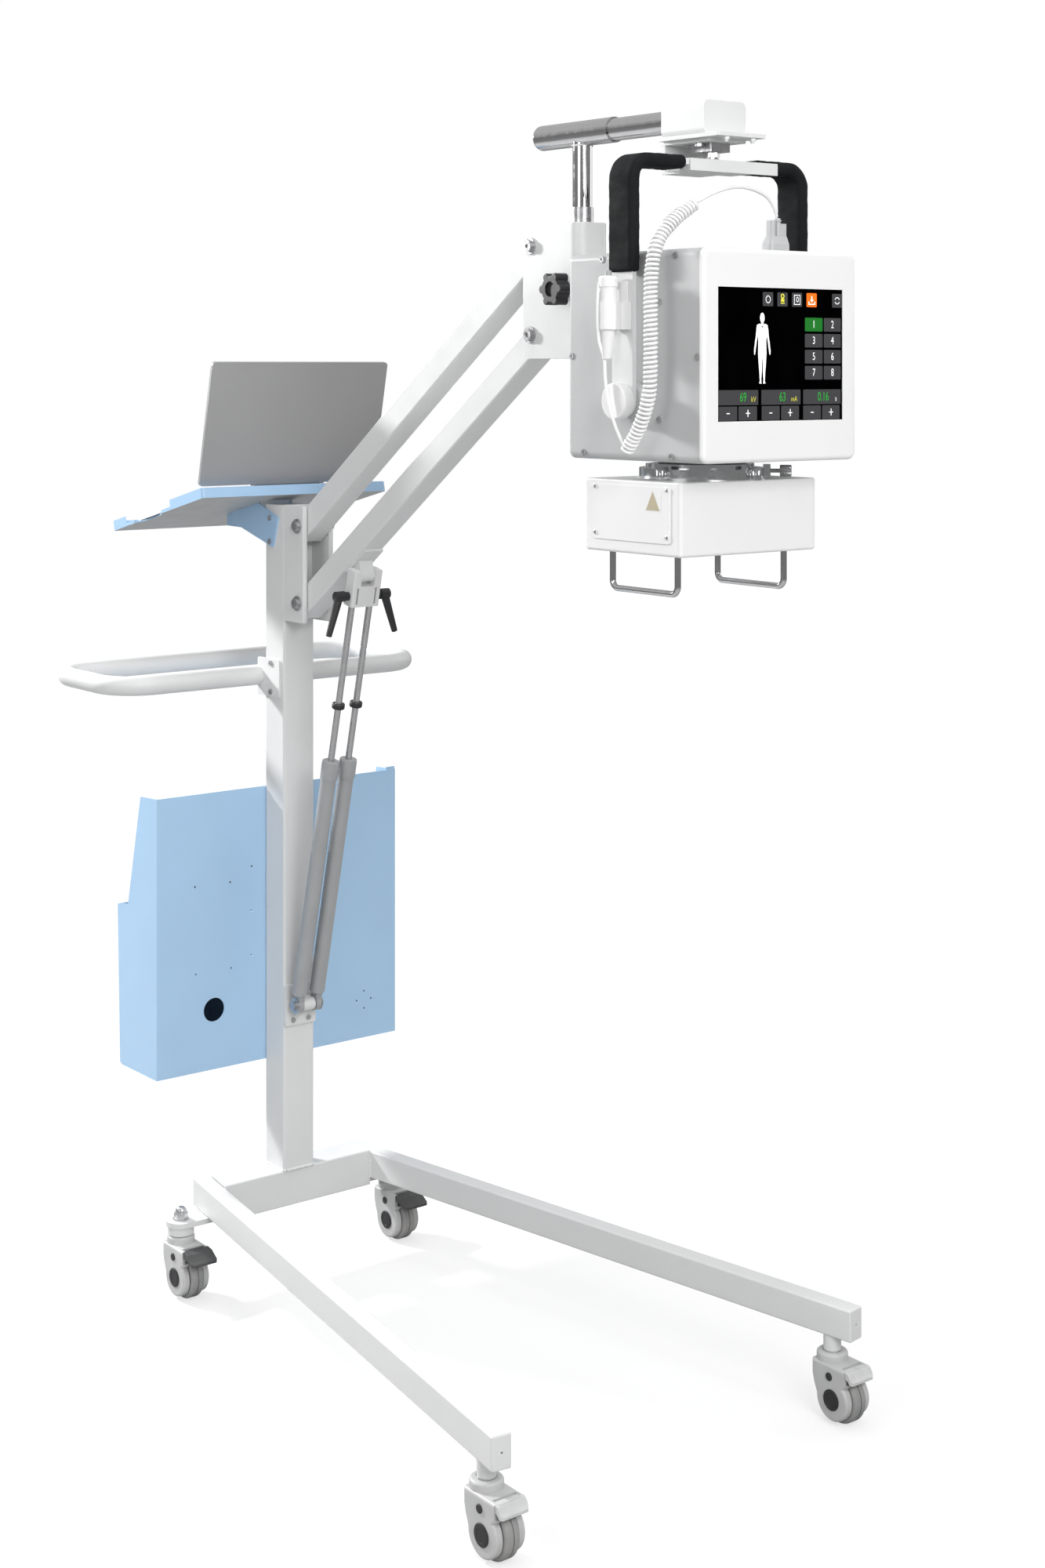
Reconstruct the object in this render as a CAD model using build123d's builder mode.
"""Portable x-ray unit on a mobile counterbalanced stand.

Millimetres. +X is the way the legs and the arm point, +Y is to the left, +Z is up, and the floor is Z = 0.
"""

import os
from math import cos, radians, sin, tan

from build123d import *

os.makedirs("parts", exist_ok=True)

# ---- driving dimensions -------------------------------------------------------------------------------------
column_x = -416.5
column_side = 56.0
column_top = 1200.0
crossbar_bottom = 101.0
crossbar_top = 157.0
leg_bottom = 112.0
leg_top = 155.0
leg_width = 27.6
leg_splay = 9.3
leg_inner_y = 134.5
leg_front_x = 945.3
wheel_radius = 34.0
wheel_trail = 20.0
front_stem_x = 907.0
rear_stem_x = -1.0
rear_stem_y = 195.0
running = 0.05

pivot_x = 68.0
upper_pivot_z = 1170.0
lower_pivot_z = 1050.0
arm_length = 716.0
arm_angle = 35.0
arm_width = 38.0
arm_height = 38.5
front_dx = arm_length * cos(radians(arm_angle))
front_dz = arm_length * sin(radians(arm_angle))
knuckle_pivot_x = pivot_x + front_dx
knuckle_upper_z = upper_pivot_z + front_dz
knuckle_lower_z = lower_pivot_z + front_dz

head_x = 984.0
case_half_x = 126.0
case_half_y = 127.7
case_bottom = 1303.0
case_top = 1558.0
tilt_z = 1376.0
post_x = 731.0
boom_z = 1728.5
yoke_y = 142.0
bar_width = 38.0
bar_thick = 6.0
arm_outer = yoke_y + bar_thick / 2
foam_width = 47.5
foam_thick = 16.0
handle_bend = 24.0
turntable_x = 968.0
collimator_x = 964.5
collimator_bottom = 1188.5
collimator_top = 1278.3

tray_tilt = 13.0
spring_pin_x = 212.0
spring_pin_z = 1102.0
spring_foot_x = 50.0
spring_foot_z = 420.0
spring_y = 16.0
eye_play = (1.71, 1.30)
eye_hole = 7.1
bin_half = 222.0

half = column_side / 2
front_stem_y = leg_inner_y + (front_stem_x - half) * tan(radians(leg_splay)) + leg_width / 2 / cos(radians(leg_splay))


def at(x):
    """X of a place given from the column's centre."""
    return column_x + x


def save(piece, label):
    piece.label = label
    export_step(piece, "parts/" + label + ".step")


# ---- base frame ---------------------------------------------------------------------------------------------
rear_inner_y = leg_inner_y - column_side * tan(radians(leg_splay))
wall = 3.0

with BuildPart() as crossbar:
    with BuildSketch(Plane.XY.offset(crossbar_bottom)):
        with BuildLine():
            Polyline(
                (at(half), leg_inner_y),
                (at(-half), rear_inner_y),
                (at(-half), -rear_inner_y),
                (at(half), -leg_inner_y),
                close=True,
            )
        make_face()
    extrude(amount=crossbar_top - crossbar_bottom)
    fillet(crossbar.edges().filter_by(Axis.Y), 2.5)
    with BuildSketch(Plane.XY.offset(crossbar_bottom + wall)):
        with Locations((at(0), 0)):
            Rectangle(column_side - 2 * wall, 2 * leg_inner_y + 20)
    extrude(amount=crossbar_top - crossbar_bottom - 2 * wall, mode=Mode.SUBTRACT)
save(crossbar.part, "base_crossbar")


def build_leg(side, label):
    """One splayed leg with its welded rear caster bracket and front caster bush."""
    splay = radians(leg_splay) * side
    middle_z = (leg_bottom + leg_top) / 2
    start = 67.0
    middle_y = side * (leg_inner_y + leg_width / 2 / cos(splay))
    rear_x = at(half) - start * cos(splay)
    rear_y = middle_y - start * sin(splay)
    length = start + (leg_front_x - half) / cos(splay)
    profile_plane = Plane(
        origin=(rear_x, rear_y, middle_z),
        x_dir=(-sin(splay), cos(splay), 0),
        z_dir=(cos(splay), sin(splay), 0),
    )
    height = leg_top - leg_bottom
    with BuildPart() as leg:
        with BuildSketch(profile_plane):
            RectangleRounded(leg_width, height, 3)
        extrude(amount=length)
        end_face = leg.faces().sort_by(Axis.X)[-1]
        fillet(end_face.edges(), 2.5)
        with BuildSketch(profile_plane.offset(4)):
            RectangleRounded(leg_width - 5, height - 5, 1.5)
        extrude(amount=length - 8, mode=Mode.SUBTRACT)
        with BuildSketch(profile_plane.offset(length - 10)):
            Circle(1.6)
        extrude(amount=12, mode=Mode.SUBTRACT)
        # bush below the front end
        with BuildSketch(Plane.XY.offset(91.5)):
            with Locations((at(front_stem_x), side * front_stem_y)):
                Circle(12)
        extrude(amount=leg_bottom + 1 - 91.5)
        # rear bracket plate and its short bush
        with BuildSketch(Plane.XY.offset(leg_bottom - 8)):
            with Locations((at(rear_stem_x), side * 166)):
                Rectangle(46, 58)
            with Locations((at(rear_stem_x), side * rear_stem_y)):
                Circle(23)
        extrude(amount=8)
        with BuildSketch(Plane.XY.offset(91.5)):
            with Locations((at(rear_stem_x), side * rear_stem_y)):
                Circle(20)
        extrude(amount=13)
        with BuildSketch(Plane.XY.offset(90)):
            with Locations(
                (at(front_stem_x), side * front_stem_y),
                (at(rear_stem_x), side * rear_stem_y),
            ):
                Circle(6)
        extrude(amount=leg_bottom + 4 - 90, mode=Mode.SUBTRACT)
    save(leg.part, label)


build_leg(1, "leg_left")
build_leg(-1, "leg_right")

# stems, each with a flange, and acorn nuts on the rear pair
with BuildPart() as stems:
    for stem_x, stem_y in (
        (front_stem_x, front_stem_y),
        (front_stem_x, -front_stem_y),
        (rear_stem_x, rear_stem_y),
        (rear_stem_x, -rear_stem_y),
    ):
        with BuildSketch(Plane.XY.offset(72)):
            with Locations((at(stem_x), stem_y)):
                Circle(6)
        extrude(amount=leg_bottom - 72)
        with BuildSketch(Plane.XY.offset(90.1)):
            with Locations((at(stem_x), stem_y)):
                Circle(13)
        extrude(amount=1.4)
    for stem_y in (rear_stem_y, -rear_stem_y):
        with BuildSketch(Plane.XY.offset(leg_bottom)):
            with Locations((at(rear_stem_x), stem_y)):
                Circle(12)
        extrude(amount=1.5)
        with BuildSketch(Plane.XY.offset(leg_bottom + 1.5)):
            with Locations((at(rear_stem_x), stem_y)):
                RegularPolygon(10.5, 6)
        extrude(amount=9)
        with BuildSketch(Plane.XY.offset(leg_bottom + 10.5)):
            with Locations((at(rear_stem_x), stem_y)):
                Circle(8.6)
        extrude(amount=9)
    dome_tops = stems.faces().sort_by(Axis.Z)[-2:]
    fillet(dome_tops.edges(), 7)
save(stems.part, "caster_stems")


# ---- casters ------------------------------------------------------------------------------------------------
def build_caster(label, stem_x, stem_y, pedal_reach):
    """Twin shell swivel caster: housing with axle, wheel with tyre, and brake pedal."""
    axle_x = at(stem_x) + wheel_trail
    mid = Plane(origin=(axle_x, stem_y, 0), x_dir=(1, 0, 0), z_dir=(0, -1, 0))
    with BuildPart() as housing:
        with BuildSketch(mid):
            with BuildLine():
                Polyline(
                    (-37, 79),
                    (25, 79),
                    (29, 70),
                    (29, 61),
                    (20, 52),
                    (16, 34),
                    (-28, 34),
                    (-34, 48),
                    (-37, 60),
                    close=True,
                )
            make_face()
            with Locations((0, wheel_radius)):
                Circle(28.5)
        extrude(amount=22.5, both=True)
        rims = housing.faces().filter_by(Axis.Y).edges()
        fillet(rims, 3.6)
        # room for the wheel
        with BuildSketch(mid):
            with Locations((0, wheel_radius)):
                Circle(wheel_radius + 2)
            with Locations((0, 14)):
                Rectangle(90, 60)
        extrude(amount=12.5, both=True, mode=Mode.SUBTRACT)
        # room for the pedal
        with BuildSketch(mid):
            with Locations((33.5, 75)):
                Rectangle(40, 28)
        extrude(amount=17.2, both=True, mode=Mode.SUBTRACT)
        with BuildSketch(mid):
            with Locations((44, 75)):
                Rectangle(40, 28)
        extrude(amount=24, both=True, mode=Mode.SUBTRACT)
        with BuildSketch(mid):
            with Locations((0, wheel_radius)):
                Circle(4)
            with Locations((19, 74)):
                Circle(2)
        extrude(amount=22, both=True)
        # turret round the stem
        with BuildSketch(Plane.XY.offset(70.5)):
            with Locations((axle_x - wheel_trail, stem_y)):
                Circle(21)
        extrude(amount=90 - 70.5)
        top_rim = housing.faces().sort_by(Axis.Z)[-1].edges()
        fillet(top_rim, 4)
        with BuildSketch(Plane.XY.offset(60)):
            with Locations((axle_x - wheel_trail, stem_y)):
                Circle(6 + running)
        extrude(amount=40, mode=Mode.SUBTRACT)
        # covers of the axle and of the brake pin
        for face_side in (-1, 1):
            with BuildSketch(mid.offset(-face_side * 21.5)):
                with Locations((0, wheel_radius)):
                    Circle(13.5)
                with Locations((-4, 64)):
                    Circle(5.2)
            extrude(amount=-face_side * 2.4)
    save(housing.part, label + "_housing")

    with BuildPart() as wheel:
        with BuildSketch(mid):
            with Locations((0, wheel_radius)):
                Circle(wheel_radius)
        extrude(amount=11, both=True)
        fillet(wheel.edges(), 5)
        with BuildSketch(mid):
            with Locations((0, wheel_radius)):
                Circle(wheel_radius + 1)
                Circle(wheel_radius - 1.6, mode=Mode.SUBTRACT)
        extrude(amount=1.2, both=True, mode=Mode.SUBTRACT)
        with BuildSketch(mid):
            with Locations((0, wheel_radius)):
                Circle(4 + running)
        extrude(amount=12, both=True, mode=Mode.SUBTRACT)
    save(wheel.part, label + "_wheel")

    with BuildPart() as pedal:
        # web between the cheeks, then the full width tread
        with BuildSketch(mid):
            Polygon((19, 78.5), (27, 78.5), (27, 68), (19, 70), align=None)
            with Locations((19, 74)):
                Circle(4.5)
        extrude(amount=17, both=True)
        with BuildSketch(mid):
            with BuildLine():
                Polyline(
                    (24.2, 79),
                    (24 + pedal_reach * 0.42, 77),
                    (24 + pedal_reach * 0.78, 70),
                    (24 + pedal_reach, 67),
                    (24 + pedal_reach, 63.5),
                    (24 + pedal_reach * 0.72, 64),
                    (24 + pedal_reach * 0.34, 69),
                    (25.2, 69),
                    close=True,
                )
            make_face()
        extrude(amount=21.5, both=True)
        tip = pedal.faces().sort_by(Axis.X)[-1]
        fillet(tip.edges().filter_by(Axis.Z), 5)
        with BuildSketch(mid):
            with Locations((19, 74)):
                Circle(2 + running)
        extrude(amount=18, both=True, mode=Mode.SUBTRACT)
    save(pedal.part, label + "_pedal")


build_caster("caster_front_left", front_stem_x, front_stem_y, 13)
build_caster("caster_front_right", front_stem_x, -front_stem_y, 13)
build_caster("caster_rear_left", rear_stem_x, rear_stem_y, 31)
build_caster("caster_rear_right", rear_stem_x, -rear_stem_y, 31)

# ---- column and what is fixed to it -------------------------------------------------------------------------
with BuildPart() as column:
    with BuildSketch(Plane.XY.offset(crossbar_top)):
        with Locations((at(0), 0)):
            RectangleRounded(column_side, column_side, 4)
    extrude(amount=column_top - crossbar_top)
    with BuildSketch(Plane.XY.offset(crossbar_top)):
        with Locations((at(0), 0)):
            RectangleRounded(column_side - 6, column_side - 6, 1.5)
    extrude(amount=column_top - crossbar_top - 3, mode=Mode.SUBTRACT)
save(column.part, "column")

bracket_front = 83.5
with BuildPart() as arm_bracket:
    with BuildSketch(Plane.XY.offset(1020)):
        with Locations((at((half + bracket_front) / 2), 0)):
            Rectangle(bracket_front - half, column_side)
        with Locations((at((half + 6 + bracket_front + 10) / 2), 0)):
            Rectangle(bracket_front + 10 - half - 6, 40, mode=Mode.SUBTRACT)
    extrude(amount=181)
    fillet(arm_bracket.edges().filter_by(Axis.Z).sort_by(Axis.X)[-4:], 2)
    with BuildSketch(Plane.XZ):
        with Locations((at(pivot_x), upper_pivot_z), (at(pivot_x), lower_pivot_z)):
            Circle(6)
    extrude(amount=60, both=True, mode=Mode.SUBTRACT)
save(arm_bracket.part, "arm_bracket")

with BuildPart() as handle:
    with BuildLine():
        FilletPolyline(
            (at(-43.5), 0, 927),
            (at(-43.5), 278, 927),
            (at(-262), 278, 927),
            (at(-262), 0, 927),
            radius=62,
        )
    with BuildSketch(Plane(origin=(at(-43.5), 0, 927), z_dir=(0, 1, 0))):
        Circle(15)
    sweep()
    mirror(about=Plane.XZ)
    with BuildSketch(Plane.XZ.offset(-half - 3)):
        with Locations((at(-14), 927)):
            RectangleRounded(64, 60, 4)
    extrude(amount=3)
    with BuildSketch(Plane.XZ.offset(half)):
        with Locations((at(-14), 927)):
            RectangleRounded(64, 60, 4)
    extrude(amount=3)
save(handle.part, "push_handle")

with BuildPart() as detector_bin:
    with BuildSketch(Plane.XZ):
        with BuildLine():
            Polyline(
                (at(-28), 753),
                (at(-80), 750),
                (at(-120), 577),
                (at(-154), 571),
                (at(-146), 324),
                (at(-140), 321),
                (at(-28), 321),
                close=True,
            )
        make_face()
    extrude(amount=bin_half, both=True)
    with BuildSketch(Plane.XZ):
        with BuildLine():
            Polyline(
                (at(-30), 324),
                (at(-144), 324.5),
                (at(-152), 572),
                (at(-152), 800),
                (at(-30), 800),
                close=True,
            )
        make_face()
    extrude(amount=bin_half - 2, both=True, mode=Mode.SUBTRACT)
    with BuildSketch(Plane.XY.offset(752)):
        with Locations((at(-29), bin_half - 9)):
            Rectangle(2, 16)
    extrude(amount=6)
    with BuildSketch(Plane.YZ.offset(at(-32))):
        with Locations((-121, 414)):
            Circle(18.5)
        with Locations(
            (-155, 610),
            (-92, 609),
            (-53, 629),
            (-53, 559),
            (-53, 489),
            (-90, 474),
            (-153, 474),
            (160, 397),
            (174, 383),
            (146, 383),
            (160, 369),
        ):
            Circle(1.6)
    extrude(amount=6, mode=Mode.SUBTRACT)
save(detector_bin.part, "detector_bin")

# ---- laptop tray, laptop ------------------------------------------------------------------------------------
tilt = radians(tray_tilt)
tray_length = 296.0
tray_plane = Plane(origin=(at(22), 0, 1216.5), x_dir=(cos(tilt), 0, sin(tilt)), z_dir=(-sin(tilt), 0, cos(tilt)))
side_plane = Plane(origin=(at(22), 0, 1216.5), x_dir=(cos(tilt), 0, sin(tilt)), z_dir=(0, -1, 0))

with BuildPart() as tray:
    with BuildSketch(tray_plane):
        with Locations((-tray_length / 2, 0)):
            RectangleRounded(tray_length, 340, 5)
    extrude(amount=16)
    with BuildSketch(tray_plane.offset(2)):
        with Locations((-tray_length / 2, 0)):
            RectangleRounded(tray_length - 4, 336, 3)
    extrude(amount=20, mode=Mode.SUBTRACT)
    # finger notches in both side lips
    with BuildSketch(side_plane):
        with Locations((-178, 20)):
            Rectangle(150, 30)
    extrude(amount=180, both=True, mode=Mode.SUBTRACT)
    with BuildSketch(tray_plane):
        with Locations((-178, 250), (-178, -250)):
            Circle(92)
    extrude(amount=20, mode=Mode.SUBTRACT)
    # side brackets that bolt to the column
    for bracket_y in (-half - 3, half):
        with BuildSketch(Plane(origin=(0, bracket_y + 3, 0), x_dir=(1, 0, 0), z_dir=(0, -1, 0))):
            with BuildLine():
                Polyline(
                    (at(-140), 1179.4),
                    (at(-45.9), 1201.2),
                    (at(14.3), 1180.2),
                    (at(-1), 1133),
                    (at(-96.5), 1159.3),
                    (at(-140), 1160),
                    close=True,
                )
            make_face()
        extrude(amount=3)
save(tray.part, "laptop_tray")

lid_lean = radians(12.2)
lid_hinge = tray_plane.from_local_coords((-27, 0, 20))
with BuildPart() as laptop_base:
    with BuildSketch(tray_plane.offset(3.5)):
        with Locations((-126, 0)):
            RectangleRounded(204, 324, 8)
    extrude(amount=13)
    with BuildSketch(tray_plane.offset(16)):
        with Locations((-98, 0)):
            RectangleRounded(96, 286, 3)
        with Locations((-186, 0)):
            RectangleRounded(64, 104, 3)
    extrude(amount=1, mode=Mode.SUBTRACT)
    with BuildSketch(tray_plane.offset(2)):
        with Locations((-40, 130), (-40, -130), (-210, 130), (-210, -130)):
            Circle(6)
    extrude(amount=1.5)
    # hinge lugs and pin
    for lug_y in (68, -60.2):
        with BuildSketch(side_plane.offset(-lug_y)):
            with Locations((-27, 20)):
                Circle(3)
            with Locations((-27, 17.5)):
                Rectangle(6, 5)
        extrude(amount=7.8)
    with BuildSketch(side_plane):
        with Locations((-27, 20)):
            Circle(1.2)
    extrude(amount=66, both=True)
save(laptop_base.part, "laptop_base")

lid_plane = Plane(origin=lid_hinge, x_dir=(sin(lid_lean), 0, cos(lid_lean)), z_dir=(cos(lid_lean), 0, -sin(lid_lean)))
with BuildPart() as laptop_lid:
    with BuildSketch(lid_plane):
        with Locations((102, 0)):
            RectangleRounded(196, 324, 6)
    extrude(amount=5)
    with BuildSketch(lid_plane):
        with Locations((103, 0)):
            Rectangle(180, 308)
    extrude(amount=0.6, mode=Mode.SUBTRACT)
    with BuildSketch(lid_plane):
        with Locations((3, 0)):
            Rectangle(6, 120)
    extrude(amount=2.6)
    with BuildSketch(Plane(origin=(lid_hinge.X, -60, lid_hinge.Z), x_dir=(1, 0, 0), z_dir=(0, 1, 0))):
        Circle(2.8)
    extrude(amount=120)
    with BuildSketch(Plane(origin=(lid_hinge.X, -70, lid_hinge.Z), x_dir=(1, 0, 0), z_dir=(0, 1, 0))):
        Circle(1.2 + running)
    extrude(amount=140, mode=Mode.SUBTRACT)
save(laptop_lid.part, "laptop_lid")

# ---- arms ---------------------------------------------------------------------------------------------------
slope = radians(arm_angle)


def arm_plane(pivot_z):
    """Plane across an arm at its rear pivot, looking along the arm."""
    return Plane(origin=(at(pivot_x), 0, pivot_z), x_dir=(0, 1, 0), z_dir=(cos(slope), 0, sin(slope)))


with BuildPart() as upper_arm:
    with BuildSketch(arm_plane(upper_pivot_z).offset(-16)):
        RectangleRounded(arm_width, arm_height, 3)
        RectangleRounded(arm_width - 6, arm_height - 6, 1, mode=Mode.SUBTRACT)
    extrude(amount=arm_length + 32)
    with BuildSketch(Plane.XZ):
        with Locations((at(pivot_x), upper_pivot_z), (at(knuckle_pivot_x), knuckle_upper_z)):
            Circle(10)
    extrude(amount=arm_width / 2, both=True)
    with BuildSketch(Plane.XZ):
        with Locations((at(pivot_x), upper_pivot_z), (at(knuckle_pivot_x), knuckle_upper_z)):
            Circle(6 + running)
    extrude(amount=arm_width, both=True, mode=Mode.SUBTRACT)
save(upper_arm.part, "upper_arm")

lower_axis = Plane(origin=(at(pivot_x), 0, lower_pivot_z), x_dir=(cos(slope), 0, sin(slope)), z_dir=(0, -1, 0))
spring_pin_local = lower_axis.to_local_coords(Vector(at(spring_pin_x), 0, spring_pin_z))
with BuildPart() as lower_arm:
    with BuildSketch(arm_plane(lower_pivot_z).offset(-16)):
        RectangleRounded(arm_width, arm_height, 3)
        RectangleRounded(arm_width - 6, arm_height - 6, 1, mode=Mode.SUBTRACT)
    extrude(amount=arm_length + 32)
    with BuildSketch(Plane.XZ):
        with Locations((at(pivot_x), lower_pivot_z), (at(knuckle_pivot_x), knuckle_lower_z)):
            Circle(10)
    extrude(amount=arm_width / 2, both=True)
    with BuildSketch(Plane.XZ):
        with Locations((at(pivot_x), lower_pivot_z), (at(knuckle_pivot_x), knuckle_lower_z)):
            Circle(6 + running)
    extrude(amount=arm_width, both=True, mode=Mode.SUBTRACT)
    # mounting plate and lug for the gas springs
    with BuildSketch(lower_axis):
        with Locations((spring_pin_local.X + 12, -arm_height / 2 - 2)):
            Rectangle(62, 4.4)
    extrude(amount=17, both=True)
    with BuildSketch(lower_axis):
        with BuildLine():
            Polyline(
                (spring_pin_local.X - 9, spring_pin_local.Y),
                (spring_pin_local.X + 9, spring_pin_local.Y),
                (spring_pin_local.X + 16, -arm_height / 2 - 3),
                (spring_pin_local.X - 12, -arm_height / 2 - 3),
                close=True,
            )
        make_face()
        with Locations((spring_pin_local.X, spring_pin_local.Y)):
            Circle(9)
    extrude(amount=12, both=True)
    with BuildSketch(lower_axis):
        with Locations((spring_pin_local.X, spring_pin_local.Y)):
            Circle(4 + running)
    extrude(amount=13, both=True, mode=Mode.SUBTRACT)
    # small stud on the top of the arm
    with BuildSketch(lower_axis):
        with Locations((548, arm_height / 2 + 1)):
            Rectangle(14, 3)
    extrude(amount=5, both=True)
save(lower_arm.part, "lower_arm")

# ---- gas springs --------------------------------------------------------------------------------------------
spring_run = Vector(at(spring_pin_x) - at(spring_foot_x), 0, spring_pin_z - spring_foot_z)
spring_length = spring_run.length
spring_up = spring_run.normalized()
spring_across = Vector(spring_up.Z, 0, -spring_up.X)
spring_plane = Plane(origin=(at(spring_pin_x), 0, spring_pin_z), x_dir=spring_across, z_dir=spring_up)
spring_side = Plane(origin=(at(spring_pin_x), 0, spring_pin_z), x_dir=spring_across, z_dir=(0, -1, 0))

with BuildPart() as spring_block:
    with BuildSketch(spring_plane.offset(-46)):
        RectangleRounded(23, 50, 2.5)
    extrude(amount=56)
    with BuildSketch(spring_plane.offset(-14)):
        Rectangle(30, 24.8)
    extrude(amount=40, mode=Mode.SUBTRACT)
    with BuildSketch(spring_side):
        Circle(4)
    extrude(amount=24.5, both=True)
    with BuildSketch(spring_plane.offset(-47)):
        with Locations((0, spring_y), (0, -spring_y)):
            Circle(5)
    extrude(amount=29, mode=Mode.SUBTRACT)
    # clamp slots in front of the rods
    with BuildSketch(spring_plane.offset(-42)):
        with Locations((8, spring_y), (8, -spring_y)):
            Rectangle(10, 3)
    extrude(amount=26, mode=Mode.SUBTRACT)
    for screw_side in (-1, 1):
        with BuildSketch(spring_side.offset(screw_side * 26)):
            with Locations((0, -31)):
                Circle(3 + running)
        extrude(amount=-screw_side * 5, mode=Mode.SUBTRACT)
save(spring_block.part, "spring_block")

with BuildPart() as spring_rods:
    with BuildSketch(spring_plane.offset(-440)):
        with Locations((0, spring_y), (0, -spring_y)):
            Circle(5)
    extrude(amount=440 - 18)
    with BuildSketch(spring_plane.offset(-210)):
        with Locations((0, spring_y), (0, -spring_y)):
            Circle(9.5)
    extrude(amount=7)
save(spring_rods.part, "spring_rods")

eye_centre = Vector(spring_foot_x + column_x, 0, spring_foot_z)
with BuildPart() as spring_cylinders:
    with BuildSketch(spring_plane.offset(-spring_length + 20)):
        with Locations((0, spring_y), (0, -spring_y)):
            Circle(12)
    extrude(amount=spring_length - 20 - 322)
    with BuildSketch(spring_plane.offset(-322)):
        with Locations((0, spring_y), (0, -spring_y)):
            Circle(13.2)
    extrude(amount=26)
    with BuildSketch(spring_plane.offset(-spring_length + 30)):
        with Locations((0, spring_y), (0, -spring_y)):
            Circle(10)
    extrude(amount=spring_length - 30 - 318, mode=Mode.SUBTRACT)
    with BuildSketch(spring_plane.offset(-330)):
        with Locations((0, spring_y), (0, -spring_y)):
            Circle(5 + running)
    extrude(amount=40, mode=Mode.SUBTRACT)
    # end eyes
    for eye_y in (-spring_y, spring_y):
        with BuildSketch(Plane(origin=eye_centre + Vector(0, eye_y, 0), x_dir=spring_across, z_dir=(0, -1, 0))):
            Circle(12)
            with Locations((0, 13)):
                Rectangle(18, 18)
        extrude(amount=4.6, both=True)
    with BuildSketch(Plane(origin=eye_centre, x_dir=spring_across, z_dir=(0, -1, 0))):
        with Locations(eye_play):
            Circle(eye_hole)
    extrude(amount=30, both=True, mode=Mode.SUBTRACT)
save(spring_cylinders.part, "spring_cylinders")

lever_centre = spring_side.from_local_coords((0, -31, 0))


def build_lever(side, label):
    """Ratchet clamp lever with its screw."""
    lean = radians(18)
    hub = Plane(origin=(lever_centre.X, side * 25.1, lever_centre.Z), x_dir=(1, 0, 0), z_dir=(0, side, 0))
    grip = Plane(
        origin=(lever_centre.X, side * 41, lever_centre.Z),
        x_dir=(1, 0, 0),
        z_dir=(0, side * sin(lean), -cos(lean)),
    )
    with BuildPart() as lever:
        with BuildSketch(hub.offset(-3.6)):
            Circle(3)
        extrude(amount=8)
        with BuildSketch(hub):
            Circle(6.5)
        extrude(amount=7)
        with BuildSketch(hub.offset(7)):
            Circle(8)
        extrude(amount=16)
        with BuildSketch(grip):
            Circle(6.5)
        with BuildSketch(grip.offset(62)):
            Circle(4.6)
        loft()
        fillet(lever.faces().sort_by(Axis.Z)[0].edges(), 2)
    save(lever.part, label)


build_lever(1, "clamp_lever_left")
build_lever(-1, "clamp_lever_right")

with BuildPart() as spring_foot:
    with BuildSketch(Plane.YZ.offset(at(half))):
        with Locations((0, 416)):
            RectangleRounded(56, 64, 3)
    extrude(amount=4)
    with BuildSketch(Plane.XZ):
        with Locations((at((half + spring_foot_x) / 2), spring_foot_z)):
            Rectangle(spring_foot_x - half, 20)
        with Locations((at(spring_foot_x), spring_foot_z)):
            Circle(10)
    extrude(amount=10.4, both=True)
    with BuildSketch(Plane.XZ):
        with Locations((at(spring_foot_x), spring_foot_z)):
            Circle(4)
    extrude(amount=12, both=True, mode=Mode.SUBTRACT)
save(spring_foot.part, "spring_foot")

# bolts of the stand: arm pivots, spring foot, handle, tray
with BuildPart() as stand_bolts:
    with BuildSketch(Plane.XZ):
        with Locations((at(pivot_x), upper_pivot_z), (at(pivot_x), lower_pivot_z)):
            Circle(6)
    extrude(amount=half, both=True)
    for face_y in (-1, 1):
        with BuildSketch(Plane.XZ.offset(-face_y * half)):
            with Locations((at(pivot_x), upper_pivot_z), (at(pivot_x), lower_pivot_z)):
                Circle(11.5)
        extrude(amount=-face_y * 2.5)
        with BuildSketch(Plane.XZ.offset(-face_y * (half + 2.5))):
            with Locations((at(pivot_x), upper_pivot_z), (at(pivot_x), lower_pivot_z)):
                Circle(8)
        extrude(amount=-face_y * 4.5)
        with BuildSketch(Plane.XZ.offset(-face_y * (half + 3))):
            with Locations(
                (at(-5.5), 950),
                (at(-5.5), 905),
                (at(-8.3), 1179),
                (at(-8.3), 1142),
            ):
                Circle(4.2)
        extrude(amount=-face_y * 2.5)
        with BuildSketch(Plane.XZ.offset(-face_y * (half + 4.5))):
            with Locations((at(pivot_x), upper_pivot_z), (at(pivot_x), lower_pivot_z)):
                RegularPolygon(3.4, 6)
        extrude(amount=-face_y * 5, mode=Mode.SUBTRACT)
        with BuildSketch(Plane.XZ.offset(-face_y * 20.8)):
            with Locations((at(spring_foot_x), spring_foot_z)):
                Circle(12.5)
        extrude(amount=-face_y * 1.6)
        with BuildSketch(Plane.XZ.offset(-face_y * 22.4)):
            with Locations((at(spring_foot_x), spring_foot_z)):
                Circle(7)
        extrude(amount=-face_y * 4)
    with BuildSketch(Plane.XZ):
        with Locations((at(spring_foot_x), spring_foot_z)):
            Circle(4)
    extrude(amount=22.4, both=True)
    with BuildSketch(Plane.YZ.offset(at(half + 4))):
        with Locations((-14, 393), (14, 393)):
            Circle(4)
    extrude(amount=2.5)
save(stand_bolts.part, "stand_bolts")

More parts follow.
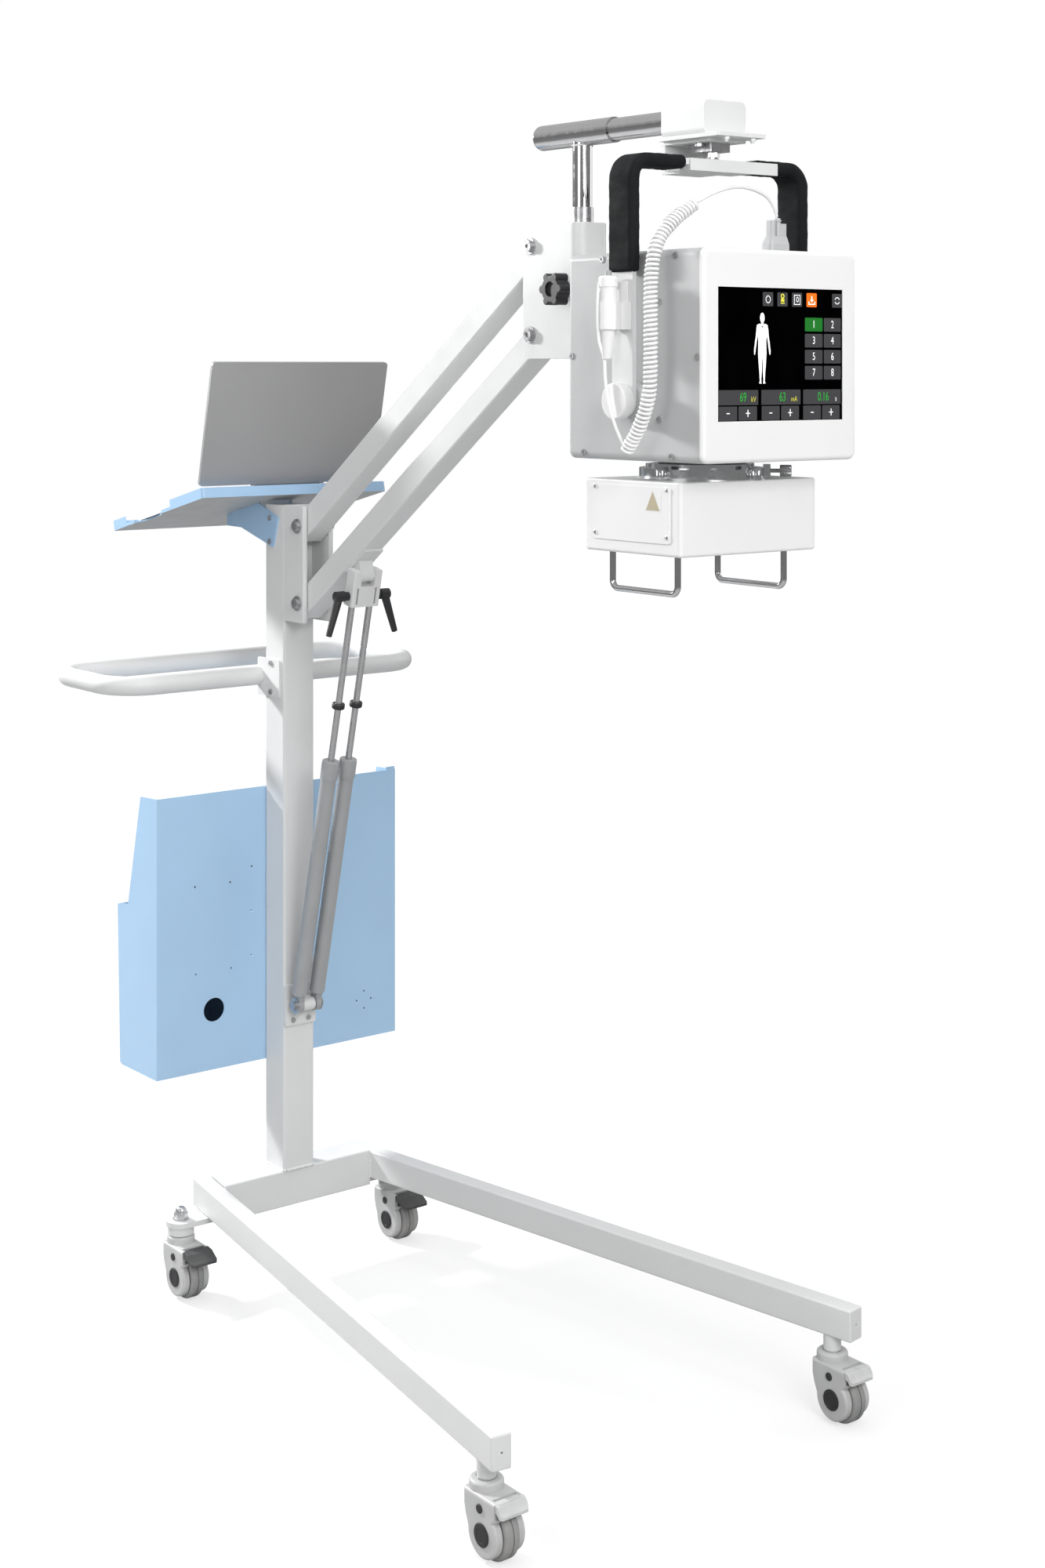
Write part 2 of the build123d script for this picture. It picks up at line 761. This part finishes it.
# ---- knuckle ------------------------------------------------------------------------------------------------
knuckle_bottom = 1428.5
knuckle_top = 1609.0
with BuildPart() as knuckle_yoke:
    with BuildSketch(Plane.XY.offset(knuckle_bottom)):
        with Locations((at(663), 0)):
            Rectangle(52, column_side)
        with Locations((at(658), 0)):
            Rectangle(48, 40, mode=Mode.SUBTRACT)
    extrude(amount=knuckle_top - knuckle_bottom)
    fillet(knuckle_yoke.edges().filter_by(Axis.Z).sort_by(Axis.X)[:4], 2)
    with BuildSketch(Plane.XZ):
        with Locations((at(knuckle_pivot_x), knuckle_upper_z), (at(knuckle_pivot_x), knuckle_lower_z)):
            Circle(6)
    extrude(amount=60, both=True, mode=Mode.SUBTRACT)
save(knuckle_yoke.part, "knuckle_yoke")

with BuildPart() as knuckle_socket:
    with BuildSketch(Plane.XY.offset(knuckle_bottom)):
        with Locations((at(723), 0)):
            Rectangle(68, column_side)
    extrude(amount=knuckle_top - knuckle_bottom)
    fillet(knuckle_socket.edges().filter_by(Axis.Z).sort_by(Axis.X)[-2:], 16)
    fillet(knuckle_socket.faces().sort_by(Axis.Z)[-1].edges().sort_by(Axis.X)[1:], 1.5)
    with BuildSketch(Plane.XY.offset(1490)):
        with Locations((at(post_x), 0)):
            Circle(13 + running)
    extrude(amount=130, mode=Mode.SUBTRACT)
    with BuildSketch(Plane.XY.offset(knuckle_bottom)):
        with Locations((at(718), 0)):
            RectangleRounded(46, 44, 3)
    extrude(amount=54, mode=Mode.SUBTRACT)
    with BuildSketch(Plane.XZ.offset(13)):
        with Locations((at(post_x), 1520)):
            Circle(4 + running)
    extrude(amount=20, mode=Mode.SUBTRACT)
save(knuckle_socket.part, "knuckle_socket")

with BuildPart() as knuckle_bolts:
    with BuildSketch(Plane.XZ):
        with Locations((at(knuckle_pivot_x), knuckle_upper_z), (at(knuckle_pivot_x), knuckle_lower_z)):
            Circle(6)
    extrude(amount=half, both=True)
    for face_y in (-1, 1):
        with BuildSketch(Plane.XZ.offset(-face_y * half)):
            with Locations((at(knuckle_pivot_x), knuckle_upper_z), (at(knuckle_pivot_x), knuckle_lower_z)):
                Circle(11.5)
        extrude(amount=-face_y * 2.5)
        with BuildSketch(Plane.XZ.offset(-face_y * (half + 2.5))):
            with Locations((at(knuckle_pivot_x), knuckle_upper_z), (at(knuckle_pivot_x), knuckle_lower_z)):
                Circle(8)
        extrude(amount=-face_y * 4.5)
        with BuildSketch(Plane.XZ.offset(-face_y * (half + 4.5))):
            with Locations((at(knuckle_pivot_x), knuckle_upper_z), (at(knuckle_pivot_x), knuckle_lower_z)):
                RegularPolygon(3.4, 6)
        extrude(amount=-face_y * 5, mode=Mode.SUBTRACT)
    with BuildSketch(Plane.XY.offset(knuckle_top)):
        with Locations((at(post_x), 0)):
            Circle(14.8)
            Circle(13 + running, mode=Mode.SUBTRACT)
    extrude(amount=21)
save(knuckle_bolts.part, "knuckle_bolts")

with BuildPart() as star_knob:
    with BuildSketch(Plane.XZ.offset(13.2)):
        with Locations((at(post_x), 1520)):
            Circle(4)
    extrude(amount=24)
    with BuildSketch(Plane.XZ.offset(half + 0.1)):
        with Locations((at(post_x), 1520)):
            Circle(10)
    extrude(amount=2)
    with BuildSketch(Plane.XZ.offset(half + 2.1)):
        with Locations((at(post_x), 1520)):
            Circle(9)
    extrude(amount=7)
    with BuildSketch(Plane.XZ.offset(half + 8)):
        with Locations((at(post_x), 1520)):
            Circle(18)
            with PolarLocations(17.5, 6):
                Circle(5.8)
    extrude(amount=20)
    fillet(star_knob.faces().sort_by(Axis.Y)[0].edges(), 1.6)
    with BuildSketch(Plane.XZ.offset(half + 25)):
        with Locations((at(post_x), 1520)):
            Circle(10)
    extrude(amount=6, mode=Mode.SUBTRACT)
save(star_knob.part, "star_knob")

# ---- post, boom ---------------------------------------------------------------------------------------------
with BuildPart() as swivel_post:
    with BuildSketch(Plane.XY.offset(1490.1)):
        with Locations((at(post_x), 0)):
            Circle(13)
    extrude(amount=boom_z - 1490.1)
    with BuildSketch(Plane.YZ.offset(at(643))):
        with Locations((0, boom_z)):
            Circle(17)
    extrude(amount=156)
    fillet(swivel_post.faces().sort_by(Axis.X)[0].edges(), 4)
    with BuildSketch(Plane.YZ.offset(at(650))):
        with Locations((0, boom_z)):
            Circle(15 + running)
    extrude(amount=200, mode=Mode.SUBTRACT)
save(swivel_post.part, "swivel_post")

with BuildPart() as boom_tube:
    with BuildSketch(Plane.YZ.offset(at(656))):
        with Locations((0, boom_z)):
            Circle(15)
            Circle(12.5, mode=Mode.SUBTRACT)
    extrude(amount=1000 - 656)
save(boom_tube.part, "boom_tube")

plate_x = 985.0
with BuildPart() as top_bracket:
    with BuildSketch(Plane.XY.offset(1700)):
        with Locations((at(plate_x), 0)):
            RectangleRounded(114, 80, 3)
    extrude(amount=5)
    with BuildSketch(Plane.YZ.offset(at(930))):
        with Locations((0, 1725.5)):
            RectangleRounded(70, 43, 8)
    extrude(amount=80)
    with BuildSketch(Plane.YZ.offset(at(929))):
        with Locations((0, boom_z)):
            Circle(15)
    extrude(amount=71, mode=Mode.SUBTRACT)
    with BuildSketch(Plane.XY.offset(1690)):
        with Locations((at(head_x), 0)):
            Circle(10 + running)
    extrude(amount=22, mode=Mode.SUBTRACT)
    # two bolts through the plate, clear of the turning bracket
    with BuildSketch(Plane.XY.offset(1696)):
        with Locations((at(1036), 22), (at(1036), -22)):
            RegularPolygon(4.4, 6)
    extrude(amount=4)
    with BuildSketch(Plane.XY.offset(1693.5)):
        with Locations((at(1036), 22), (at(1036), -22)):
            Circle(2.6)
    extrude(amount=2.5)
save(top_bracket.part, "top_bracket")

with BuildPart() as swivel_stud:
    with BuildSketch(Plane.XY.offset(1676)):
        with Locations((at(head_x), 0)):
            Circle(10)
    extrude(amount=34)
    with BuildSketch(Plane.XY.offset(1678.5)):
        with Locations((at(head_x), 0)):
            RegularPolygon(11.5, 6)
    extrude(amount=6)
    with BuildSketch(Plane.XY.offset(1684.5)):
        with Locations((at(head_x), 0)):
            RectangleRounded(36, 34, 2)
    extrude(amount=11)
    # two bolts that hold the block to the flange above it
    with BuildSketch(Plane.XY.offset(1691)):
        with Locations((at(head_x - 26), -14), (at(head_x + 4), -24)):
            RegularPolygon(5, 6)
    extrude(amount=4.5)
save(swivel_stud.part, "swivel_stud")

# ---- yoke ---------------------------------------------------------------------------------------------------
grip_z = 1669.0
with BuildPart() as yoke_frame:
    # bracket that hangs from the stud: upper flange, rear web, and the cross channel below
    with BuildSketch(Plane.XY.offset(1695.5)):
        with Locations((at(head_x - 12.5), 0)):
            RectangleRounded(87, 64, 3)
    extrude(amount=4.4)
    with BuildSketch(Plane.XY.offset(1659)):
        with Locations((at(head_x - 53), 0)):
            Rectangle(6, 64)
    extrude(amount=38)
    with BuildSketch(Plane.XY.offset(1659)):
        with Locations((at(head_x - 17), 0)):
            Rectangle(78, 64)
        with Locations((at(head_x), 0)):
            Rectangle(44, 108)
    extrude(amount=4)
    with BuildSketch(Plane.XY.offset(1659)):
        with Locations((at(head_x - 20), 0), (at(head_x + 20), 0)):
            Rectangle(4, 108)
        with Locations((at(head_x + 20), 22)):
            Rectangle(4, 144)
        with Locations((at(head_x), 51), (at(head_x), -51)):
            Rectangle(40, 6)
    extrude(amount=15)
    with BuildSketch(Plane.XY.offset(1690)):
        with Locations((at(head_x), 0)):
            Circle(10)
    extrude(amount=12, mode=Mode.SUBTRACT)
    # flat bars bent down from the channel to the tilt pivots
    for side in (-1, 1):
        with BuildLine():
            FilletPolyline(
                (at(head_x), side * 50, grip_z),
                (at(head_x), side * yoke_y, grip_z),
                (at(head_x), side * yoke_y, tilt_z),
                radius=handle_bend,
            )
        with BuildSketch(Plane(origin=(at(head_x), side * 50, grip_z), x_dir=(1, 0, 0), z_dir=(0, side, 0))):
            Rectangle(bar_width, bar_thick)
        sweep()
        with BuildSketch(Plane.XZ.offset(-side * (arm_outer - bar_thick))):
            with Locations((at(head_x), tilt_z)):
                Circle(bar_width / 2)
        extrude(amount=-side * bar_thick)
    with BuildSketch(Plane.XZ):
        with Locations((at(head_x), tilt_z)):
            Circle(8 + running)
    extrude(amount=200, both=True, mode=Mode.SUBTRACT)
save(yoke_frame.part, "yoke_frame")


def build_grip(side):
    """Foam sleeve over one bent bar."""
    with BuildPart() as grip:
        with BuildLine():
            FilletPolyline(
                (at(head_x), side * 60, grip_z),
                (at(head_x), side * yoke_y, grip_z),
                (at(head_x), side * yoke_y, 1532),
                radius=handle_bend,
            )
        with BuildSketch(Plane(origin=(at(head_x), side * 60, grip_z), x_dir=(1, 0, 0), z_dir=(0, side, 0))):
            SlotOverall(foam_width, foam_thick)
            Rectangle(bar_width + 0.2, bar_thick + 0.2, mode=Mode.SUBTRACT)
        sweep()
    return grip.part


with BuildPart() as foam_grips:
    add(build_grip(1))
    add(build_grip(-1))
    with BuildSketch(Plane.XY.offset(1640)):
        with Locations((at(head_x + 22), 20)):
            Rectangle(8.6, 150)
    extrude(amount=50, mode=Mode.SUBTRACT)
save(foam_grips.part, "foam_grips")

with BuildPart() as tilt_knobs:
    for knob_side in (-1, 1):
        with BuildSketch(Plane.XZ.offset(-knob_side * (case_half_y + 0.1))):
            with Locations((at(head_x), tilt_z)):
                Circle(8)
        extrude(amount=-knob_side * 20)
        with BuildSketch(Plane.XZ.offset(-knob_side * (arm_outer + 0.1))):
            with Locations((at(head_x), tilt_z)):
                Circle(22)
        extrude(amount=-knob_side * 15)
    fillet(tilt_knobs.faces().sort_by(Axis.Y)[0].edges(), 2)
    fillet(tilt_knobs.faces().sort_by(Axis.Y)[-1].edges(), 2)
save(tilt_knobs.part, "tilt_knobs")

# ---- hand switch --------------------------------------------------------------------------------------------
switch_x = 976.0
switch_y = -160.0
with BuildPart() as switch_holder:
    # open clip round the switch, its block and its hanger plate
    with BuildSketch(Plane.XY.offset(1462.5)):
        with Locations((at(switch_x), switch_y)):
            Circle(13.4)
        with Locations((at(switch_x + 12), (switch_y - arm_outer) / 2)):
            Rectangle(24, -switch_y - arm_outer)
        with Locations((at(switch_x), switch_y)):
            Circle(10.8, mode=Mode.SUBTRACT)
            with Locations(Rotation(0, 0, 233)):
                with Locations((12, 0)):
                    Rectangle(16, 17, mode=Mode.SUBTRACT)
    extrude(amount=33)
    with BuildSketch(Plane.XZ.offset(arm_outer)):
        with Locations((at(switch_x + 8), 1492)):
            RectangleRounded(22, 58, 2)
    extrude(amount=2.5)
save(switch_holder.part, "switch_holder")

with BuildPart() as hand_switch:
    with BuildSketch(Plane.XY.offset(1427)):
        with Locations((at(switch_x - 1.5), switch_y - 1.5)):
            Circle(5.6)
    with BuildSketch(Plane.XY.offset(1461)):
        with Locations((at(switch_x), switch_y)):
            Circle(9.8)
    loft()
    with BuildSketch(Plane.XY.offset(1461)):
        with Locations((at(switch_x), switch_y)):
            Circle(10.6)
    extrude(amount=55)
    with BuildSketch(Plane.XY.offset(1514)):
        with Locations((at(switch_x), switch_y)):
            Circle(12)
    extrude(amount=13.5)
    fillet(hand_switch.faces().sort_by(Axis.Z)[-1].edges(), 3.5)
    # long press bar down the outer side
    bar_side = Vector(cos(radians(233)), sin(radians(233)), 0)
    with BuildSketch(Plane(origin=(at(switch_x), switch_y, 0), x_dir=bar_side, z_dir=bar_side.cross(Vector(0, 0, 1)))):
        Polygon(
            (9, 1519),
            (13, 1519),
            (14.4, 1500),
            (14.4, 1468),
            (12.6, 1447),
            (7, 1429),
            (4, 1429),
            (9.6, 1448),
            (12, 1468),
            (12, 1498),
            (11, 1508),
            (9, 1510),
            align=None,
        )
    extrude(amount=3.2, both=True)
    with BuildSketch(Plane.XY.offset(1516)):
        with Locations((at(switch_x), switch_y)):
            Circle(4.1)
    extrude(amount=20, mode=Mode.SUBTRACT)
save(hand_switch.part, "hand_switch")

with BuildPart() as switch_button:
    with BuildSketch(Plane.XY.offset(1520)):
        with Locations((at(switch_x), switch_y)):
            Circle(4)
    extrude(amount=14)
    fillet(switch_button.faces().sort_by(Axis.Z)[-1].edges(), 1.6)
save(switch_button.part, "switch_button")

# ---- generator head -----------------------------------------------------------------------------------------
case_rear = head_x - case_half_x
case_front = head_x + case_half_x
case_seam = case_front - 6.5
case_mid_z = (case_bottom + case_top) / 2
case_height = case_top - case_bottom

with BuildPart() as case_body:
    with BuildSketch(Plane.YZ.offset(at(case_rear))):
        with Locations((0, case_mid_z)):
            RectangleRounded(2 * case_half_y, case_height, 9)
    extrude(amount=case_seam - case_rear)
    fillet(case_body.faces().sort_by(Axis.X)[0].edges(), 7)
    with BuildSketch(Plane.YZ.offset(at(case_rear + 3.5))):
        with Locations((0, case_mid_z)):
            RectangleRounded(2 * case_half_y - 7, case_height - 7, 6)
    extrude(amount=case_seam - case_rear, mode=Mode.SUBTRACT)
    # bosses that stand the yoke off the case, and the bores of the tilt pins
    for boss_side in (-1, 1):
        with BuildSketch(Plane.XZ.offset(-boss_side * (case_half_y - 12))):
            with Locations((at(head_x), tilt_z)):
                Circle(26)
        extrude(amount=-boss_side * (arm_outer - bar_thick - 0.1 - case_half_y + 12))
        with BuildSketch(Plane.XZ.offset(-boss_side * (case_half_y - 20))):
            with Locations((at(head_x), tilt_z)):
                Circle(8 + running)
        extrude(amount=-boss_side * 40, mode=Mode.SUBTRACT)
    # power inlet at the rear: a recessed socket with three pins
    with BuildSketch(Plane.YZ.offset(at(case_rear))):
        with Locations((60, case_bottom + 42)):
            RectangleRounded(34, 28, 3)
    extrude(amount=16)
    with BuildSketch(Plane.YZ.offset(at(case_rear - 1))):
        with Locations((60, case_bottom + 42)):
            RectangleRounded(26, 19, 3)
    extrude(amount=13, mode=Mode.SUBTRACT)
    with BuildSketch(Plane.YZ.offset(at(case_rear + 4))):
        with Locations((53, case_bottom + 40), (60, case_bottom + 45), (67, case_bottom + 40)):
            Rectangle(1.6, 4)
    extrude(amount=9)
    # flange of the turntable
    with BuildSketch(Plane.XY.offset(1297.1)):
        with Locations((at(turntable_x), 0)):
            Circle(55)
            Circle(46, mode=Mode.SUBTRACT)
    extrude(amount=case_bottom + 1 - 1297.1)
save(case_body.part, "case_body")

screen_bottom = 1352.6
screen_top = 1512.2
screen_mid = (screen_bottom + screen_top) / 2
screen_height = screen_top - screen_bottom
with BuildPart() as bezel:
    with BuildSketch(Plane.YZ.offset(at(case_seam))):
        with Locations((0, case_mid_z)):
            RectangleRounded(2 * case_half_y, case_height, 10)
    extrude(amount=case_front - case_seam)
    fillet(bezel.faces().sort_by(Axis.X)[-1].edges(), 5.5)
    with BuildSketch(Plane.YZ.offset(at(case_seam - 5))):
        with Locations((0, case_mid_z)):
            RectangleRounded(2 * case_half_y - 8, case_height - 8, 5)
            RectangleRounded(2 * case_half_y - 14, case_height - 14, 3, mode=Mode.SUBTRACT)
    extrude(amount=5)
    with BuildSketch(Plane.YZ.offset(at(case_seam - 1))):
        with Locations((0, screen_mid)):
            Rectangle(208, screen_height)
    extrude(amount=20, mode=Mode.SUBTRACT)
save(bezel.part, "front_bezel")

with BuildPart() as touch_screen:
    with BuildSketch(Plane.YZ.offset(at(case_front - 7.5))):
        with Locations((0, screen_mid)):
            Rectangle(208, screen_height)
    extrude(amount=6.5)
    with BuildSketch(Plane.YZ.offset(at(case_front - 13.5))):
        with Locations((0, screen_mid)):
            Rectangle(220, screen_height + 12)
    extrude(amount=6)
save(touch_screen.part, "touch_screen")

with BuildPart() as tube_tank:
    with BuildSketch(Plane.XY.offset(case_bottom + 3.5)):
        with Locations((at(head_x - 14), 0)):
            RectangleRounded(150, 190, 10)
    extrude(amount=200)
    with BuildSketch(Plane.XY.offset(case_bottom + 203.5)):
        with Locations((at(head_x - 54), 50), (at(head_x - 54), -50)):
            Circle(16)
    extrude(amount=20)
save(tube_tank.part, "tube_tank")

screw_places = (
    (925, 1550),
    (1062, 1550),
    (866.5, 1431),
    (890, 1311),
    (1100, 1429),
    (1033, 1495),
    (1032, 1354),
    (1054, 1310),
)
with BuildPart() as case_screws:
    for screw_side in (-1, 1):
        with BuildSketch(Plane.XZ.offset(-screw_side * case_half_y)):
            with Locations(*[(at(x), z) for x, z in screw_places]):
                Circle(4.2)
        extrude(amount=-screw_side * 1.2)
        with BuildSketch(Plane.XZ.offset(-screw_side * (case_half_y + 0.5))):
            with Locations(*[(at(x), z) for x, z in screw_places]):
                RegularPolygon(2, 6)
        extrude(amount=-screw_side * 2, mode=Mode.SUBTRACT)
save(case_screws.part, "case_screws")

plug_x = 1020.0
plug_y = 78.0
with BuildPart() as plug:
    with BuildSketch(Plane.XY.offset(case_top)):
        with Locations((at(plug_x), plug_y - 1)):
            RectangleRounded(20, 34, 5)
    extrude(amount=13)
    with BuildSketch(Plane.XY.offset(case_top + 13)):
        with Locations((at(plug_x), plug_y - 1)):
            RectangleRounded(20, 34, 5)
    with BuildSketch(Plane.XY.offset(case_top + 23)):
        with Locations((at(plug_x), plug_y)):
            RectangleRounded(15, 28, 5)
    loft()
    for neck_y, neck_width, neck_top in ((-9.5, 8, 43), (4.5, 17, 39)):
        with BuildSketch(Plane.XY.offset(case_top + 22)):
            with Locations((at(plug_x), plug_y + neck_y)):
                RectangleRounded(13, neck_width, 3)
        extrude(amount=neck_top - 22)
    # strain relief
    for level, ring_radius in ((38, 4.8), (40, 3.8), (42, 4.8), (44, 3.8)):
        with BuildSketch(Plane.XY.offset(case_top + level)):
            with Locations((at(plug_x), plug_y + 2)):
                Circle(ring_radius)
        extrude(amount=2)
save(plug.part, "cord_plug")

# ---- collimator ---------------------------------------------------------------------------------------------
with BuildPart() as turntable_ring:
    with BuildSketch(Plane.XY.offset(collimator_top)):
        with Locations((at(turntable_x), 0)):
            Circle(79)
    extrude(amount=13.2)
    with BuildSketch(Plane.XY.offset(collimator_top + 13.2)):
        with Locations((at(turntable_x), 0)):
            Circle(65)
    extrude(amount=5.5)
    with BuildSketch(Plane.XY.offset(collimator_top)):
        with Locations((at(turntable_x), 0)):
            Circle(48)
    extrude(amount=18.7, mode=Mode.SUBTRACT)
    with BuildSketch(Plane.XY.offset(collimator_top)):
        with Locations((at(turntable_x), 0)):
            with PolarLocations(81.5, 4, start_angle=-80):
                Circle(7.5)
    extrude(amount=16.2)
    screw_dir = Vector(cos(radians(45)), sin(radians(45)), 0)
    screw_origin = Vector(at(turntable_x), 0, collimator_top + 9.5)
    with BuildSketch(Plane(origin=screw_origin + screw_dir * 76, z_dir=screw_dir)):
        Rectangle(18, 16)
    extrude(amount=9)
    with BuildSketch(Plane(origin=screw_origin + screw_dir * 72.6, z_dir=screw_dir)):
        Circle(2.5 + running)
    extrude(amount=20, mode=Mode.SUBTRACT)
save(turntable_ring.part, "turntable_ring")

with BuildPart() as thumb_screw:
    with BuildSketch(Plane(origin=screw_origin + screw_dir * 73, z_dir=screw_dir)):
        Circle(2.5)
    extrude(amount=30)
    with BuildSketch(Plane(origin=screw_origin + screw_dir * 97, z_dir=screw_dir)):
        Circle(7)
    extrude(amount=14)
save(thumb_screw.part, "thumb_screw")

col_x, col_y, col_z = 179.6, 228.0, collimator_top - collimator_bottom
with BuildPart() as collimator_shell:
    with BuildSketch(Plane.XY.offset(collimator_bottom)):
        with Locations((at(collimator_x), 0)):
            RectangleRounded(col_x, col_y, 5)
    extrude(amount=col_z)
    fillet(collimator_shell.faces().sort_by(Axis.Z)[0].edges(), 4)
    fillet(collimator_shell.faces().sort_by(Axis.Z)[-1].edges(), 2)
    with BuildSketch(Plane.XY.offset(collimator_bottom + 3)):
        with Locations((at(collimator_x), 0)):
            RectangleRounded(col_x - 6, col_y - 6, 3)
    extrude(amount=col_z - 6, mode=Mode.SUBTRACT)
    with BuildSketch(Plane.XY.offset(collimator_bottom - 1)):
        with Locations((at(collimator_x), 0)):
            Rectangle(120, 120)
    extrude(amount=6, mode=Mode.SUBTRACT)
    with BuildSketch(Plane.XY.offset(collimator_top - 5)):
        with Locations((at(turntable_x), 0)):
            Circle(48)
    extrude(amount=8, mode=Mode.SUBTRACT)
    # raised side covers
    for cover_side in (-1, 1):
        with BuildSketch(Plane.XZ.offset(-cover_side * col_y / 2)):
            with Locations((at(collimator_x), 1238)):
                RectangleRounded(144, 68, 4)
        extrude(amount=-cover_side * 1.2)
        with BuildSketch(Plane.XZ.offset(-cover_side * (col_y / 2 + 1.2))):
            with Locations((at(collimator_x), 1240.5)):
                with GridLocations(135, 57, 2, 2):
                    Circle(3)
        extrude(amount=-cover_side * 0.9)
save(collimator_shell.part, "collimator_shell")

with BuildPart() as shutters:
    with BuildSketch(Plane.XY.offset(collimator_bottom + 3.0)):
        with Locations((at(collimator_x), 0)):
            Rectangle(130, 130)
    extrude(amount=2)
    with BuildSketch(Plane.XY.offset(collimator_bottom + 34)):
        with Locations((at(collimator_x - 50), 0), (at(collimator_x + 50), 0)):
            Rectangle(54, 200)
    extrude(amount=3)
    with BuildSketch(Plane.XY.offset(collimator_bottom + 40)):
        with Locations((at(collimator_x), -68), (at(collimator_x), 68)):
            Rectangle(150, 80)
    extrude(amount=3)
    with BuildSketch(Plane.XY.offset(collimator_bottom + 3)):
        with Locations((at(collimator_x - 70), -95), (at(collimator_x + 70), -95)):
            Rectangle(8, 8)
        with Locations((at(collimator_x - 70), 95), (at(collimator_x + 70), 95)):
            Rectangle(8, 8)
    extrude(amount=40)
save(shutters.part, "shutter_blades")

with BuildPart() as guard_rails:
    for rail_y in (-89.0, 89.0):
        with BuildLine():
            FilletPolyline(
                (at(900), rail_y, collimator_bottom),
                (at(900), rail_y, 1141),
                (at(1022), rail_y, 1141),
                (at(1022), rail_y, collimator_bottom),
                radius=10,
            )
        with BuildSketch(Plane(origin=(at(900), rail_y, collimator_bottom), z_dir=(0, 0, -1))):
            Circle(4)
        sweep()
save(guard_rails.part, "guard_rails")

# ---- hand switch cord ---------------------------------------------------------------------------------------
coil_points = (
    (at(1009), -160, 1316),
    (at(1052), -160, 1360),
    (at(1055.5), -161, 1450),
    (at(1053), -160, 1540),
    (at(1051), -139, 1585),
    (at(1048), -84, 1615),
)
lead_points = (
    (at(1048), -83.6, 1615.2),
    (at(1044), -47, 1631),
    (at(1036), -2, 1640),
    (at(1026), 43, 1636),
    (at(1021), 70, 1625),
    (at(1020), 79.3, 1606),
)
tail_points = (
    (at(974), -164, 1425.8),
    (at(975), -164.5, 1400),
    (at(981), -164, 1373),
    (at(992), -163, 1346),
    (at(1002), -161.5, 1329),
)


def bend_radii(points):
    """Radius of each bend of a run of straight pieces."""
    radii = []
    for before, here, after in zip(points, points[1:], points[2:]):
        first = Vector(*here) - Vector(*before)
        second = Vector(*after) - Vector(*here)
        turn = radians(first.get_angle(second))
        radii.append(0.45 * min(first.length, second.length) / tan(turn / 2))
    return radii


def build_cord(points, diameter, label):
    radii = bend_radii(points)
    print(label, "bend radii", [round(radius, 1) for radius in radii])
    with BuildPart() as cord:
        with BuildLine():
            FilletPolyline(*points, radius=radii)
        start = Vector(*points[1]) - Vector(*points[0])
        with BuildSketch(Plane(origin=points[0], z_dir=start)):
            Circle(diameter / 2)
        sweep()
    save(cord.part, label)


build_cord(lead_points, 4.5, "cord_lead")
build_cord(coil_points, 18.0, "cord_coil")
build_cord(tail_points, 3.6, "cord_tail")
